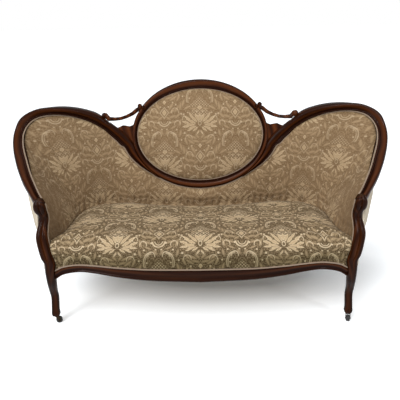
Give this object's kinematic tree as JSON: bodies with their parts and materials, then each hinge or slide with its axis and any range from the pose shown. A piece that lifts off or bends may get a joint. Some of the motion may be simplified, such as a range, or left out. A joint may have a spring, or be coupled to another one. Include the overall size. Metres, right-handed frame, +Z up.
{
  "type": "chair-back settee",
  "caption": "Medallion-back settee with a moulded show-wood frame, shell-shaped wings, cabriole front legs on casters and sprung damask upholstery.",
  "frame": {"origin": "on the floor, in the middle of the settee's width and depth", "axes": "+X to the sitter's left along the settee's length, +Y to the back, +Z up"},
  "size_m": [1.7086, 0.74, 0.9976],
  "materials": {
    "walnut": "polished dark walnut",
    "beech": "plain sawn frame timber",
    "spring_steel": "coppered spring wire",
    "hessian": "jute webbing and hessian",
    "wheel": "dark brown composition, turned",
    "caster_metal": "dark bronzed iron",
    "damask": "woven damask over stuffing"
  },
  "bodies": {
    "frame": {"arm_stay_left": "beech", "arm_stay_right": "beech", "back_seat_rail": "beech", "bridge_left": "walnut", "bridge_right": "walnut", "caster_socket_front_left": "caster_metal", "caster_socket_front_right": "caster_metal", "caster_socket_rear_left": "caster_metal", "caster_socket_rear_right": "caster_metal", "centre_stile": "beech", "dust_cover": "hessian", "front_post_left": "walnut", "front_post_right": "walnut", "front_seat_rail": "walnut", "inside_arm_left": "damask", "inside_arm_right": "damask", "inside_back": "damask", "medallion_back": "damask", "medallion_frame": "walnut", "medallion_pad": "damask", "outside_arm_left": "damask", "outside_arm_right": "damask", "outside_back": "damask", "rear_post_left": "walnut", "rear_post_right": "walnut", "seat_pad": "damask", "seat_spring_1": "spring_steel", "seat_spring_2": "spring_steel", "seat_spring_3": "spring_steel", "seat_spring_4": "spring_steel", "seat_spring_5": "spring_steel", "seat_spring_6": "spring_steel", "seat_spring_7": "spring_steel", "seat_spring_8": "spring_steel", "seat_webbing": "hessian", "side_seat_rail_left": "beech", "side_seat_rail_right": "beech", "spandrel_left": "walnut", "spandrel_right": "walnut", "spring_deck": "hessian", "stay_rail": "beech", "wing_rail_left": "walnut", "wing_rail_right": "walnut"},
    "fork_front_left": {"caster_fork_front_left": "caster_metal", "caster_axle_front_left": "caster_metal"},
    "wheel_front_left": {"caster_wheel_front_left": "wheel"},
    "fork_front_right": {"caster_fork_front_right": "caster_metal", "caster_axle_front_right": "caster_metal"},
    "wheel_front_right": {"caster_wheel_front_right": "wheel"},
    "fork_rear_left": {"caster_fork_rear_left": "caster_metal", "caster_axle_rear_left": "caster_metal"},
    "wheel_rear_left": {"caster_wheel_rear_left": "wheel"},
    "fork_rear_right": {"caster_fork_rear_right": "caster_metal", "caster_axle_rear_right": "caster_metal"},
    "wheel_rear_right": {"caster_wheel_rear_right": "wheel"}
  },
  "joints": [
    {"name": "swivel_front_left", "type": "hinge", "parent": "frame", "child": "fork_front_left", "pos_m": [-0.6468, -0.25012, 0.033], "axis": [0, 0, 1], "continuous": true},
    {"name": "roll_front_left", "type": "hinge", "parent": "fork_front_left", "child": "wheel_front_left", "pos_m": [-0.63553, -0.24602, 0.014], "axis": [-0.342, 0.9397, 0], "continuous": true},
    {"name": "swivel_front_right", "type": "hinge", "parent": "frame", "child": "fork_front_right", "pos_m": [0.6468, -0.25012, 0.033], "axis": [0, 0, 1], "continuous": true},
    {"name": "roll_front_right", "type": "hinge", "parent": "fork_front_right", "child": "wheel_front_right", "pos_m": [0.64472, -0.26194, 0.014], "axis": [0.9848, -0.1736, 0], "continuous": true},
    {"name": "swivel_rear_left", "type": "hinge", "parent": "frame", "child": "fork_rear_left", "pos_m": [-0.46512, 0.33634, 0.033], "axis": [0, 0, 1], "continuous": true},
    {"name": "roll_rear_left", "type": "hinge", "parent": "fork_rear_left", "child": "wheel_rear_left", "pos_m": [-0.46201, 0.34793, 0.014], "axis": [-0.9659, 0.2588, 0], "continuous": true},
    {"name": "swivel_rear_right", "type": "hinge", "parent": "frame", "child": "fork_rear_right", "pos_m": [0.46512, 0.33634, 0.033], "axis": [0, 0, 1], "continuous": true},
    {"name": "roll_rear_right", "type": "hinge", "parent": "fork_rear_right", "child": "wheel_rear_right", "pos_m": [0.46102, 0.34761, 0.014], "axis": [-0.9397, -0.342, 0], "continuous": true}
  ]
}
